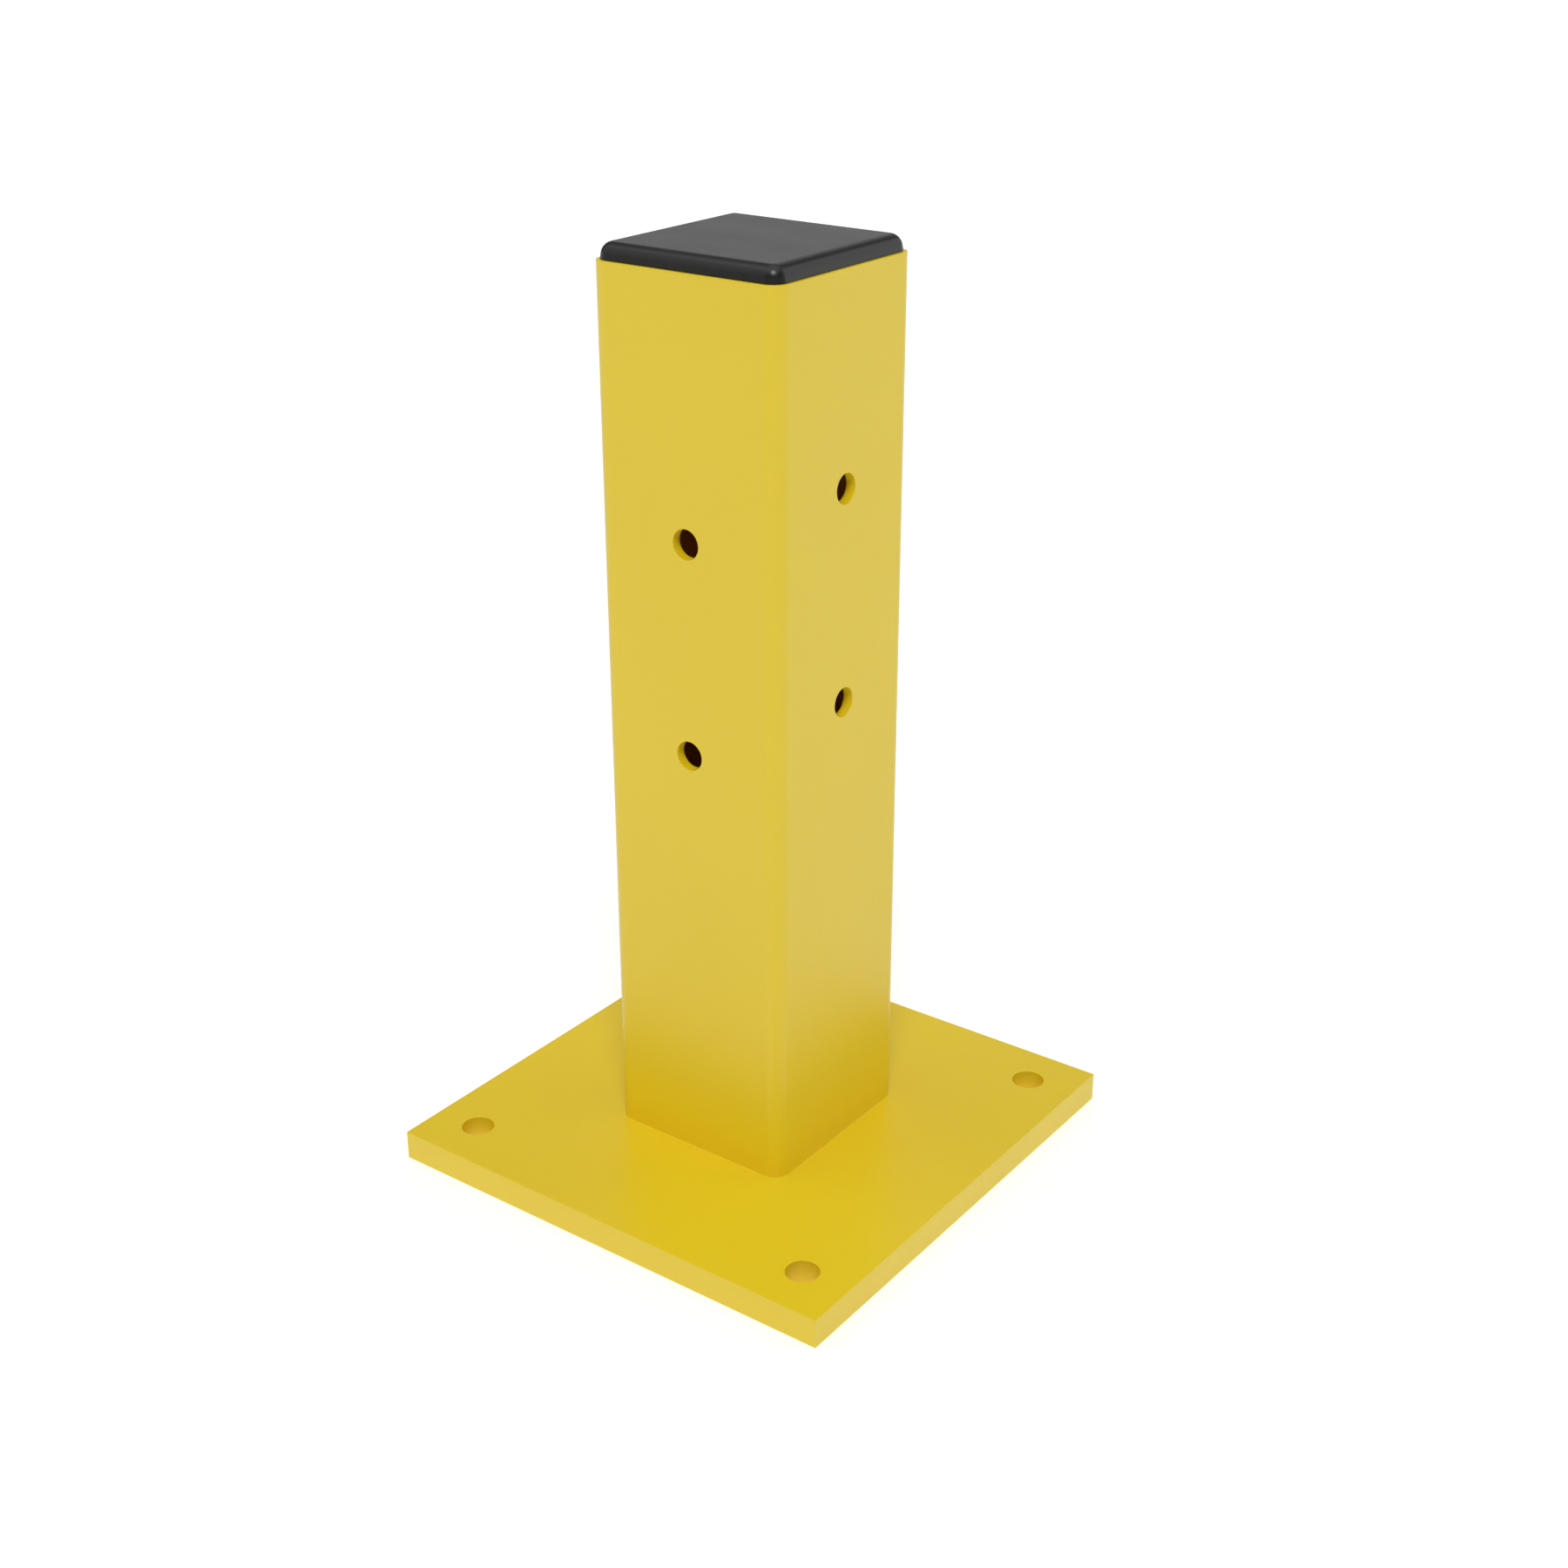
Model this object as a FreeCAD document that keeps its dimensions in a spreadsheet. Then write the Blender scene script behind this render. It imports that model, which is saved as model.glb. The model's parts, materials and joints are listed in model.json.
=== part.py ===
"""Steel safety bollard: a square-tube post on an anchored base plate, with a push-in end cap.

Millimetres. +Z points up. The origin is the middle of the base plate's underside, where the
bollard stands on the floor. The front of the post faces -Y and its right side faces +X.

The bollard is four pieces:
  base_plate  square steel plate with four anchor holes
  post_tube   square steel tube with rail bolt holes drilled right through, two each way
  base_weld   single-bevel groove weld that joins the tube's foot to the plate, ground flush
  end_cap     one-piece moulded plug that closes the top of the tube
"""
import FreeCAD, Part
import math
import os
import Sketcher
from FreeCAD import Placement, Rotation, Vector

SHEET = "Dimensions"
TOLERANCE = 1e-6
VOLUME_TOLERANCE = 1e-4

# Driving dimensions: alias, value, what it is.
DIMENSIONS = [
    ("plate_side", 250.0, "side of the square base plate"),
    ("plate_thickness", 15.0, "thickness of the base plate"),
    ("anchor_spacing", 200.0, "anchor holes, centre to centre along each side"),
    ("anchor_hole_diameter", 16.0, "anchor hole, clearance for an M14 or 5/8 inch stud"),
    ("tube_width", 100.0, "square tube, outside"),
    ("tube_wall", 5.0, "tube wall"),
    ("tube_corner_radius", 8.0, "tube corner, outside radius"),
    ("tube_length", 427.0, "tube, foot to top"),
    ("rail_hole_diameter", 14.0, "rail bolt hole, clearance for M12"),
    ("rail_hole_pitch", 100.0, "height between the two rail holes of a pair"),
    ("front_hole_height", 225.0, "lower front-to-back hole, above the floor"),
    ("side_hole_height", 247.0, "lower side-to-side hole, above the floor"),
    ("weld_leg", 3.5, "bevel on the tube's foot, which the weld fills"),
    ("cap_head_width", 97.0, "cap head where it sits on the tube"),
    ("cap_head_corner_radius", 7.0, "cap head corner, seen from above"),
    ("cap_head_height", 7.5, "cap head above the tube"),
    ("cap_head_draft", 10.0, "inward lean of the cap head's sides, degrees"),
    ("cap_head_round", 6.0, "rounded upper edge of the cap head"),
    ("cap_skin", 3.0, "cap head, thickness over the hollow"),
    ("cap_skirt_width", 86.0, "cap skirt inside the tube, outside"),
    ("cap_skirt_corner_radius", 3.0, "cap skirt corner, outside radius"),
    ("cap_skirt_wall", 2.0, "cap skirt wall"),
    ("cap_skirt_depth", 26.0, "cap skirt below the top of the tube"),
    ("cap_fin_thickness", 1.2, "one gripping fin"),
    ("cap_fin_pitch", 5.0, "gripping fins, one to the next"),
    ("cap_fin_count", 4, "gripping fins"),
    ("cap_fin_start", 5.0, "first fin's upper face below the top of the tube"),
    ("cap_rib_thickness", 2.0, "crossed stiffening ribs"),
    ("cap_rib_depth", 18.0, "ribs below the top of the tube"),
]


def dim(name):
    """Expression that reads one driving dimension."""
    return "<<%s>>.%s" % (SHEET, name)


BORE_WIDTH = "%s - 2 * %s" % (dim("tube_width"), dim("tube_wall"))
BORE_RADIUS = "%s - %s" % (dim("tube_corner_radius"), dim("tube_wall"))


def read(doc, name):
    """Value of one driving dimension."""
    return float(doc.getObject(SHEET).get(name))


def make_sheet(doc):
    """Spreadsheet that holds the driving dimensions, one aliased row each."""
    sheet = doc.addObject("Spreadsheet::Sheet", SHEET)
    for row, (alias, value, meaning) in enumerate(DIMENSIONS, start=1):
        sheet.set("A%d" % row, alias)
        sheet.set("B%d" % row, str(value))
        sheet.set("C%d" % row, meaning)
        sheet.setAlias("B%d" % row, alias)
    doc.recompute()
    return sheet


def make_body(doc, name, height=None):
    """Body that carries one piece; height is the expression for its local zero above the floor."""
    body = doc.addObject("PartDesign::Body", name)
    body.Label = name
    body.Placement = Placement(Vector(0, 0, 0), Rotation())
    if height:
        body.setExpression("Placement.Base.z", height)
    return body


def origin_feature(body, role):
    """One of the body's own origin planes or axes."""
    for feature in body.Origin.OriginFeatures:
        if feature.Role == role:
            return feature
    raise RuntimeError("%s has no %s" % (body.Name, role))


def make_sketch(body, name, role="XY_Plane", offset=None):
    """Sketch on an origin plane of the body, moved along the plane's normal by an expression."""
    sketch = body.newObject("Sketcher::SketchObject", name)
    sketch.AttachmentSupport = (origin_feature(body, role), [""])
    sketch.MapMode = "FlatFace"
    if offset:
        sketch.setExpression("AttachmentOffset.Base.z", offset)
    body.Document.recompute()
    return sketch


def bind(sketch, constraint, name, expression):
    """Name a driving constraint and bind it to an expression."""
    sketch.renameConstraint(constraint, name)
    sketch.setExpression("Constraints." + name, expression)


def draw_rectangle(sketch, width, depth):
    """Centred rectangle whose sides are the expressions width and depth."""
    half = 10.0
    corners = [Vector(-half, -half, 0), Vector(half, -half, 0), Vector(half, half, 0), Vector(-half, half, 0)]
    lines = []
    for start in range(4):
        end = (start + 1) % 4
        lines.append(sketch.addGeometry(Part.LineSegment(corners[start], corners[end]), False))
    for side, line in enumerate(lines):
        sketch.addConstraint(Sketcher.Constraint("Coincident", line, 2, lines[(side + 1) % 4], 1))
        direction = "Horizontal" if side % 2 == 0 else "Vertical"
        sketch.addConstraint(Sketcher.Constraint(direction, line))
    sketch.addConstraint(Sketcher.Constraint("Symmetric", lines[0], 1, lines[1], 2, -1, 1))
    across = sketch.addConstraint(Sketcher.Constraint("Distance", lines[0], 2 * half))
    bind(sketch, across, "width", width)
    along = sketch.addConstraint(Sketcher.Constraint("Distance", lines[1], 2 * half))
    bind(sketch, along, "depth", depth)


def draw_rounded_square(sketch, width, radius, tag=""):
    """Centred square with rounded corners; width and radius are expressions, tag tells outlines apart."""
    half = 40.0
    corner = 4.0
    inner = half - corner
    lines = []
    arcs = []
    for quarter in range(4):
        turn = Rotation(Vector(0, 0, 1), 90.0 * quarter)
        start = turn.multVec(Vector(-inner, -half, 0))
        end = turn.multVec(Vector(inner, -half, 0))
        centre = turn.multVec(Vector(inner, -inner, 0))
        first = math.radians(90.0 * quarter - 90.0)
        circle = Part.Circle(centre, Vector(0, 0, 1), corner)
        lines.append(sketch.addGeometry(Part.LineSegment(start, end), False))
        arcs.append(sketch.addGeometry(Part.ArcOfCircle(circle, first, first + math.pi / 2), False))
    for quarter in range(4):
        following = (quarter + 1) % 4
        direction = "Horizontal" if quarter % 2 == 0 else "Vertical"
        sketch.addConstraint(Sketcher.Constraint("Tangent", lines[quarter], 2, arcs[quarter], 1))
        sketch.addConstraint(Sketcher.Constraint("Tangent", arcs[quarter], 2, lines[following], 1))
        sketch.addConstraint(Sketcher.Constraint(direction, lines[quarter]))
    for quarter in range(1, 4):
        sketch.addConstraint(Sketcher.Constraint("Equal", arcs[0], arcs[quarter]))
    sketch.addConstraint(Sketcher.Constraint("Symmetric", arcs[0], 3, arcs[2], 3, -1, 1))
    sketch.addConstraint(Sketcher.Constraint("Equal", lines[0], lines[1]))
    size = sketch.addConstraint(Sketcher.Constraint("DistanceY", lines[0], 1, lines[2], 1, 2 * half))
    bind(sketch, size, "width" + tag, width)
    rounding = sketch.addConstraint(Sketcher.Constraint("Radius", arcs[0], corner))
    bind(sketch, rounding, "radius" + tag, radius)


def draw_circle(sketch, diameter, across, up, tag=""):
    """Circle at the expressions (across, up) in the sketch; across None puts it on the vertical axis."""
    circle = sketch.addGeometry(Part.Circle(Vector(5, 20, 0), Vector(0, 0, 1), 3.0), False)
    size = sketch.addConstraint(Sketcher.Constraint("Diameter", circle, 6.0))
    bind(sketch, size, "diameter" + tag, diameter)
    if across:
        sideways = sketch.addConstraint(Sketcher.Constraint("DistanceX", -1, 1, circle, 3, 5.0))
        bind(sketch, sideways, "across" + tag, across)
    else:
        sketch.addConstraint(Sketcher.Constraint("PointOnObject", circle, 3, -2))
    upward = sketch.addConstraint(Sketcher.Constraint("DistanceY", -1, 1, circle, 3, 20.0))
    bind(sketch, upward, "up" + tag, up)


def add_pad(body, name, sketch, length, reverse=False):
    """Pad a sketch by the expression length."""
    pad = body.newObject("PartDesign::Pad", name)
    pad.Profile = sketch
    pad.Reversed = reverse
    pad.setExpression("Length", length)
    body.Document.recompute()
    return pad


def check_removed(name, before, after):
    """Stop if a cut took nothing away."""
    if after >= before:
        raise RuntimeError("%s removed nothing" % name)


def cut_through(body, name, sketch):
    """Pocket that runs right through the body to both sides of its sketch."""
    before = body.Tip.Shape.Volume
    pocket = body.newObject("PartDesign::Pocket", name)
    pocket.Profile = sketch
    pocket.Type = "ThroughAll"
    pocket.Midplane = True
    body.Document.recompute()
    check_removed(name, before, pocket.Shape.Volume)
    return pocket


def flat_face_at(shape, height):
    """The horizontal flat face of a shape at one height."""
    for face in shape.Faces:
        level = all(abs(vertex.Z - height) < TOLERANCE for vertex in face.Vertexes)
        if level and isinstance(face.Surface, Part.Plane):
            return face
    raise RuntimeError("no flat face at %g" % height)


def rim_edges(shape, height):
    """Names of the edges round the outside of the flat face at one height."""
    rim = flat_face_at(shape, height).OuterWire.Edges
    names = []
    for number, edge in enumerate(shape.Edges, start=1):
        if any(edge.isSame(other) for other in rim):
            names.append("Edge%d" % number)
    return names


def make_base_plate(doc):
    """Flat square plate with one anchor hole near each corner."""
    body = make_body(doc, "base_plate")
    outline = make_sketch(body, "plate_outline")
    draw_rectangle(outline, dim("plate_side"), dim("plate_side"))
    add_pad(body, "plate_blank", outline, dim("plate_thickness"))

    hole = make_sketch(body, "anchor_hole_circle")
    from_middle = dim("anchor_spacing") + " / 2"
    draw_circle(hole, dim("anchor_hole_diameter"), from_middle, from_middle)
    drilled = cut_through(body, "anchor_hole", hole)
    pattern = body.newObject("PartDesign::PolarPattern", "anchor_holes")
    pattern.Originals = [drilled]
    pattern.Axis = (origin_feature(body, "Z_Axis"), [""])
    pattern.Angle = 360.0
    pattern.Occurrences = 4
    body.Tip = pattern
    doc.recompute()
    return body


def make_post_tube(doc):
    """Square tube with a bevelled foot and two pairs of cross-drilled rail bolt holes."""
    body = make_body(doc, "post_tube", dim("plate_thickness"))
    section = make_sketch(body, "tube_section")
    draw_rounded_square(section, dim("tube_width"), dim("tube_corner_radius"), "_outside")
    draw_rounded_square(section, BORE_WIDTH, BORE_RADIUS, "_bore")
    tube = add_pad(body, "tube", section, dim("tube_length"))

    bevel = body.newObject("PartDesign::Chamfer", "foot_bevel")
    bevel.Base = (tube, rim_edges(tube.Shape, 0.0))
    bevel.setExpression("Size", dim("weld_leg"))
    doc.recompute()

    directions = [("front_to_back", "XZ_Plane", "front_hole_height"),
                  ("side_to_side", "YZ_Plane", "side_hole_height")]
    for name, plane, lowest in directions:
        circles = make_sketch(body, name + "_circles", plane)
        for step, tag in enumerate(("_lower", "_upper")):
            above_foot = "%s - %s + %d * %s" % (dim(lowest), dim("plate_thickness"), step, dim("rail_hole_pitch"))
            draw_circle(circles, dim("rail_hole_diameter"), None, above_foot, tag)
        cut_through(body, name + "_holes", circles)
    return body


def make_base_weld(doc):
    """Weld that fills the bevel round the tube's foot, ground flush with the tube's faces."""
    body = make_body(doc, "base_weld", dim("plate_thickness"))
    outline = make_sketch(body, "weld_outline")
    draw_rounded_square(outline, dim("tube_width"), dim("tube_corner_radius"))
    add_pad(body, "weld_blank", outline, dim("weld_leg"))

    root = make_sketch(body, "bevel_at_the_plate")
    draw_rounded_square(root, "%s - 2 * %s" % (dim("tube_width"), dim("weld_leg")),
                        "%s - %s" % (dim("tube_corner_radius"), dim("weld_leg")))
    face = make_sketch(body, "bevel_at_the_face", offset=dim("weld_leg"))
    draw_rounded_square(face, dim("tube_width"), dim("tube_corner_radius"))
    before = body.Tip.Shape.Volume
    inside = body.newObject("PartDesign::SubtractiveLoft", "weld_inside")
    inside.Profile = root
    inside.Sections = [face]
    inside.Ruled = True
    doc.recompute()
    check_removed("weld_inside", before, inside.Shape.Volume)
    return body


def make_end_cap(doc):
    """Moulded plug: rounded head, hollow skirt with gripping fins, and crossed ribs inside."""
    body = make_body(doc, "end_cap", "%s + %s" % (dim("plate_thickness"), dim("tube_length")))
    head_outline = make_sketch(body, "head_outline")
    draw_rounded_square(head_outline, dim("cap_head_width"), dim("cap_head_corner_radius"))
    head = add_pad(body, "head", head_outline, dim("cap_head_height"))
    head.setExpression("TaperAngle", "-" + dim("cap_head_draft"))
    doc.recompute()
    rounded = body.newObject("PartDesign::Fillet", "head_round")
    rounded.Base = (head, rim_edges(head.Shape, read(doc, "cap_head_height")))
    rounded.setExpression("Radius", dim("cap_head_round"))
    doc.recompute()

    skirt_inside = "%s - 2 * %s" % (dim("cap_skirt_width"), dim("cap_skirt_wall"))
    skirt_inside_radius = "%s - %s" % (dim("cap_skirt_corner_radius"), dim("cap_skirt_wall"))
    skirt_section = make_sketch(body, "skirt_section")
    draw_rounded_square(skirt_section, dim("cap_skirt_width"), dim("cap_skirt_corner_radius"), "_outside")
    draw_rounded_square(skirt_section, skirt_inside, skirt_inside_radius, "_inside")
    add_pad(body, "skirt", skirt_section, dim("cap_skirt_depth"), reverse=True)

    hollow_outline = make_sketch(body, "hollow_outline")
    draw_rounded_square(hollow_outline, skirt_inside, skirt_inside_radius)
    before = body.Tip.Shape.Volume
    hollow = body.newObject("PartDesign::Pocket", "hollow_under_head")
    hollow.Profile = hollow_outline
    hollow.Reversed = True
    hollow.setExpression("Length", "%s - %s" % (dim("cap_head_height"), dim("cap_skin")))
    doc.recompute()
    check_removed("hollow_under_head", before, hollow.Shape.Volume)

    fin_section = make_sketch(body, "fin_section", offset="-" + dim("cap_fin_start"))
    draw_rounded_square(fin_section, BORE_WIDTH, BORE_RADIUS, "_outside")
    draw_rounded_square(fin_section, skirt_inside, skirt_inside_radius, "_inside")
    fin = add_pad(body, "fin", fin_section, dim("cap_fin_thickness"), reverse=True)
    fins = body.newObject("PartDesign::LinearPattern", "fins")
    fins.Originals = [fin]
    fins.Direction = (origin_feature(body, "Z_Axis"), [""])
    fins.Reversed = True
    fins.setExpression("Occurrences", dim("cap_fin_count"))
    fins.setExpression("Length", "%s * (%s - 1)" % (dim("cap_fin_pitch"), dim("cap_fin_count")))
    body.Tip = fins
    doc.recompute()

    rib_outline = make_sketch(body, "rib_outline", offset="-" + dim("cap_rib_depth"))
    draw_rectangle(rib_outline, "%s - %s" % (dim("cap_skirt_width"), dim("cap_skirt_wall")),
                   dim("cap_rib_thickness"))
    rib = add_pad(body, "rib", rib_outline,
                  "%s + %s - %s / 2" % (dim("cap_rib_depth"), dim("cap_head_height"), dim("cap_skin")))
    ribs = body.newObject("PartDesign::PolarPattern", "crossed_ribs")
    ribs.Originals = [rib]
    ribs.Axis = (origin_feature(body, "Z_Axis"), [""])
    ribs.Angle = 90.0
    ribs.Occurrences = 2
    body.Tip = ribs
    doc.recompute()
    return body


def check_document(doc):
    """Stop if any object of the document failed to compute."""
    for item in doc.Objects:
        failed = [state for state in item.State if state in ("Invalid", "Error")]
        if failed:
            raise RuntimeError("%s is %s" % (item.Name, failed[0]))


def check_piece(body):
    """Stop unless the piece is one closed, valid solid."""
    shape = body.Shape
    if shape.isNull() or not shape.isValid():
        raise RuntimeError("%s has no valid shape" % body.Label)
    if len(shape.Solids) != 1 or not shape.Solids[0].isClosed():
        raise RuntimeError("%s is not one closed solid" % body.Label)


def check_volumes(doc, pieces):
    """Compare the steel pieces with their volumes worked out by hand."""
    def rounded_square_area(width, radius):
        return width ** 2 - (4.0 - math.pi) * radius ** 2

    plate_area = read(doc, "plate_side") ** 2 - math.pi * read(doc, "anchor_hole_diameter") ** 2
    leg = read(doc, "weld_leg")
    straight = 4.0 * (read(doc, "tube_width") - 2.0 * read(doc, "tube_corner_radius"))
    weld_path = straight + 2.0 * math.pi * (read(doc, "tube_corner_radius") - leg / 3.0)
    weld_volume = weld_path * leg ** 2 / 2.0
    outside = rounded_square_area(read(doc, "tube_width"), read(doc, "tube_corner_radius"))
    bore = rounded_square_area(read(doc, "tube_width") - 2.0 * read(doc, "tube_wall"),
                               read(doc, "tube_corner_radius") - read(doc, "tube_wall"))
    rail_hole = math.pi / 4.0 * read(doc, "rail_hole_diameter") ** 2 * read(doc, "tube_wall")
    expected = {
        "base_plate": plate_area * read(doc, "plate_thickness"),
        "base_weld": weld_volume,
        "post_tube": (outside - bore) * read(doc, "tube_length") - weld_volume - 8.0 * rail_hole,
    }
    for body in pieces:
        if body.Label in expected:
            error = abs(body.Shape.Volume / expected[body.Label] - 1.0)
            if error > VOLUME_TOLERANCE:
                raise RuntimeError("%s is %.3f%% off its volume" % (body.Label, 100.0 * error))


def main():
    """Build the bollard, check it and write one STEP file for each piece."""
    doc = FreeCAD.newDocument("steel_safety_bollard")
    make_sheet(doc)
    pieces = [make_base_plate(doc), make_post_tube(doc), make_base_weld(doc), make_end_cap(doc)]
    doc.recompute()
    check_document(doc)
    check_volumes(doc, pieces)
    os.makedirs("parts", exist_ok=True)
    for body in pieces:
        check_piece(body)
        body.Shape.exportStep("parts/%s.step" % body.Label)
        box = body.Shape.BoundBox
        print("%-10s %10.0f mm3  x %.1f..%.1f  y %.1f..%.1f  z %.1f..%.1f" % (
            body.Label, body.Shape.Volume, box.XMin, box.XMax, box.YMin, box.YMax, box.ZMin, box.ZMax))


main()
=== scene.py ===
"""Looks of the steel safety bollard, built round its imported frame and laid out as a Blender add-on.

Metres, in the frame's own axes: +Z is up, the floor is at z = 0 and the post's front looks along -Y.
Each operator makes one finished piece; the stage operator makes the floor, the lights and the camera.
"""

import json
import math

import bmesh
import bpy
from bpy.props import FloatProperty, FloatVectorProperty, IntProperty, PointerProperty
from mathutils import Euler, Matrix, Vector


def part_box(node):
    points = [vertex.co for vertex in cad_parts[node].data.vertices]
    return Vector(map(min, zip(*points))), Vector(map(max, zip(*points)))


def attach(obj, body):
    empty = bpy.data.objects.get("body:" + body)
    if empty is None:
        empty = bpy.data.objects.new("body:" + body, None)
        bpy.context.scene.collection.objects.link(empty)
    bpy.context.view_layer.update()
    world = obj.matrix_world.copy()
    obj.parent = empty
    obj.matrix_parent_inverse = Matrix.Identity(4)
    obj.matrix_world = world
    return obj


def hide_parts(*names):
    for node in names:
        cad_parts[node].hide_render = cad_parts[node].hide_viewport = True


bl_info = {
    "name": "Steel Safety Bollard",
    "version": (1, 0, 0),
    "blender": (4, 5, 0),
    "location": "View3D > Sidebar > Bollard",
    "description": "Builds a square-tube safety bollard with its plate, weld, end cap and a studio stage",
    "category": "Add Mesh",
}

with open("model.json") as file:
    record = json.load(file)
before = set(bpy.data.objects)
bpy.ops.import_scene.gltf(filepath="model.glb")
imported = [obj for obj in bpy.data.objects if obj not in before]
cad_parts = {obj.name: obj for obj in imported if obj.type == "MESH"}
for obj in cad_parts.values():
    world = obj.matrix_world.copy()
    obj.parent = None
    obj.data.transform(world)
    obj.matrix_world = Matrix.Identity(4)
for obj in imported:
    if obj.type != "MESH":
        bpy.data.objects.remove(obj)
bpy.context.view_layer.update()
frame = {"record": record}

MM = 0.001
BODY = "root"
MOUNTS = {mount["name"]: mount for mount in frame["record"]["mounts"]}
PLATE_LOW, PLATE_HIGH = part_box("base_plate")
TUBE_LOW, TUBE_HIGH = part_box("post_tube")
WELD_LOW, WELD_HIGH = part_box("base_weld")
CAP_LOW, CAP_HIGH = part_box("end_cap")

CORNER_STEPS = 14      # points round each rounded corner of the square outlines
HOLE_SIDES = 64        # sides of each drilled hole
TOE_STEPS = 6          # points round the hollow where the weld runs out onto the plate
HEAD_STEPS = 10        # steps round the cap head's upper edge
EDGE_STEPS = 3         # steps round each rounded steel edge
OVERCUT = 2 * MM       # how far a cutter reaches past the face it cuts
JOIN = 0.01 * MM       # points nearer to each other than this are one point
HEAD_LIP = 0.3 * MM    # small bevel under the cap head, where it meets the tube
SKIRT_LEAD = 1 * MM    # bevel at the skirt's lower end that helps it into the tube
CRISP_ANGLE = math.radians(40)      # a corner sharper than this stays crisp in shade
STEEL_ANGLE = math.radians(60)      # a steel edge sharper than this is rounded
QUARTER_TURN = math.pi / 2
FLOOR_HALF = 30.0                   # half the width of the studio floor
SENSOR_WIDTH = 36.0                 # width of the camera's sensor, in millimetres


# ---------------------------------------------------------------- sizes and colours

class BollardSizes(bpy.types.PropertyGroup):
    """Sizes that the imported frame's boxes and mounts don't give"""

    tube_wall: FloatProperty(
        name="Tube wall", description="Thickness of the square tube's wall",
        default=5 * MM, min=1 * MM, unit="LENGTH")
    tube_corner: FloatProperty(
        name="Tube corner", description="Outside radius of the tube's corners",
        default=8 * MM, min=1 * MM, unit="LENGTH")
    steel_edge: FloatProperty(
        name="Steel edge", description="Rounding of the steel's cut and drilled edges under the paint",
        default=0.2 * MM, min=0.05 * MM, unit="LENGTH")
    weld_toe: FloatProperty(
        name="Weld toe", description="How far the weld and the paint on it spread onto the plate",
        default=0.2 * MM, min=0.05 * MM, unit="LENGTH")
    head_corner: FloatProperty(
        name="Head corner", description="Radius of the cap head's corners where it sits on the tube",
        default=7 * MM, min=1 * MM, unit="LENGTH")
    head_round: FloatProperty(
        name="Head round", description="Radius of the cap head's upper edge",
        default=6 * MM, min=0.5 * MM, unit="LENGTH")
    head_draft: FloatProperty(
        name="Head draft", description="Inward lean of the cap head's sides",
        default=math.radians(10), min=0, unit="ROTATION")
    head_skin: FloatProperty(
        name="Head skin", description="Thickness of the cap head over its hollow",
        default=3 * MM, min=0.5 * MM, unit="LENGTH")
    skirt_width: FloatProperty(
        name="Skirt width", description="Outside width of the cap's skirt inside the tube",
        default=86 * MM, min=10 * MM, unit="LENGTH")
    skirt_corner: FloatProperty(
        name="Skirt corner", description="Outside radius of the skirt's corners",
        default=3 * MM, min=0.5 * MM, unit="LENGTH")
    skirt_wall: FloatProperty(
        name="Skirt wall", description="Thickness of the skirt's wall",
        default=2 * MM, min=0.5 * MM, unit="LENGTH")
    fin_thickness: FloatProperty(
        name="Fin thickness", description="Thickness of one gripping fin",
        default=1.2 * MM, min=0.2 * MM, unit="LENGTH")
    fin_pitch: FloatProperty(
        name="Fin pitch", description="Distance from one gripping fin to the next",
        default=5 * MM, min=0.5 * MM, unit="LENGTH")
    fin_count: IntProperty(
        name="Fins", description="Number of gripping fins round the skirt",
        default=4, min=1)
    rib_thickness: FloatProperty(
        name="Rib thickness", description="Thickness of the crossed ribs inside the skirt",
        default=2 * MM, min=0.5 * MM, unit="LENGTH")
    rib_depth: FloatProperty(
        name="Rib depth", description="How far the ribs reach below the top of the tube",
        default=18 * MM, min=1 * MM, unit="LENGTH")


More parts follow.
